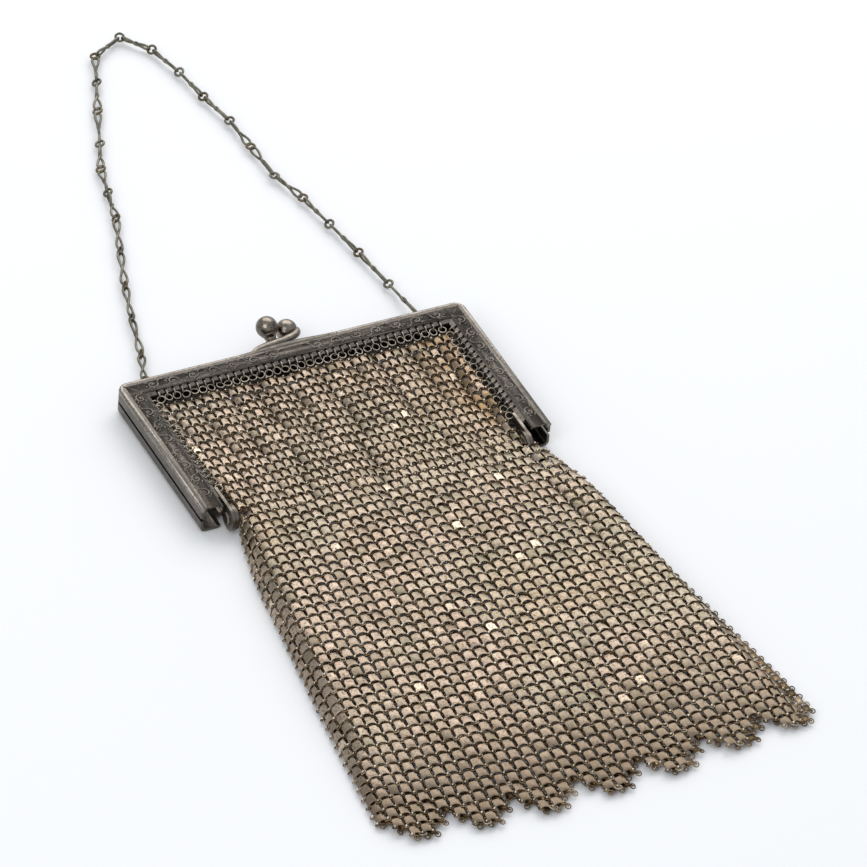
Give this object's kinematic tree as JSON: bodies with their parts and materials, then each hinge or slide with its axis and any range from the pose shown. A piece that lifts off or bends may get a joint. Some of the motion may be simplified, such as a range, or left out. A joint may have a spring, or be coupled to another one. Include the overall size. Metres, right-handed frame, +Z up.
{
  "type": "mesh evening bag",
  "caption": "Metal mesh evening bag with a hinged engraved frame, a kiss-lock ball clasp, a zigzag hem and a chain handle, lying closed on its back.",
  "frame": {"origin": "on the resting surface, under the middle of the bag's bounding box, measured without the chain", "axes": "+Y runs from the hem to the frame's top bar and the chain, +X runs along the top bar to the right of someone looking at the front, +Z points up from the resting surface and out of the front face"},
  "size_m": [0.1194, 0.3346, 0.0103],
  "materials": {
    "frame_metal": "antique pewter plating, rubbed bright on the relief",
    "sewing_metal": "worn plating",
    "clasp_metal": "polished, with wear",
    "hinge_metal": "tarnished",
    "lug_metal": "plating worn to the brass",
    "chain_metal": "tarnished wire",
    "mesh_metal": "worn plates of warm grey, with darker rings"
  },
  "bodies": {
    "back_half": {"back_frame_shell": "frame_metal", "back_sewing_rings": "sewing_metal", "back_clasp_post": "clasp_metal", "back_clasp_ball": "clasp_metal", "back_hinge_ear_left": "hinge_metal", "back_hinge_ear_right": "hinge_metal", "hinge_washer_left": "hinge_metal", "hinge_washer_right": "hinge_metal", "hinge_pin_left": "hinge_metal", "hinge_pin_right": "hinge_metal", "chain_lug_left": "lug_metal", "chain_lug_right": "lug_metal", "front_mesh_lower": "mesh_metal", "back_mesh": "mesh_metal", "side_mesh_left": "mesh_metal", "side_mesh_right": "mesh_metal", "front_hem_points": "mesh_metal", "back_hem_points": "mesh_metal"},
    "front_half": {"front_frame_shell": "frame_metal", "front_sewing_rings": "sewing_metal", "front_clasp_post": "clasp_metal", "front_clasp_ball": "clasp_metal", "front_mesh_upper": "mesh_metal", "front_hinge_ear_left": "hinge_metal", "front_hinge_ear_right": "hinge_metal"},
    "chain": {"chain_long_links": "chain_metal", "chain_rings": "chain_metal", "chain_end_ring_left": "chain_metal", "chain_end_ring_right": "chain_metal"}
  },
  "joints": [
    {"name": "frame_opening", "type": "hinge", "parent": "back_half", "child": "front_half", "pos_m": [0, 0.03202, 0.004], "axis": [1, 0, 0], "range_deg": [0, 80]},
    {"name": "chain_swing", "type": "hinge", "parent": "back_half", "child": "chain", "pos_m": [0, 0.09143, 0.0029], "axis": [1, 0, 0], "range_deg": [0, 90]}
  ]
}
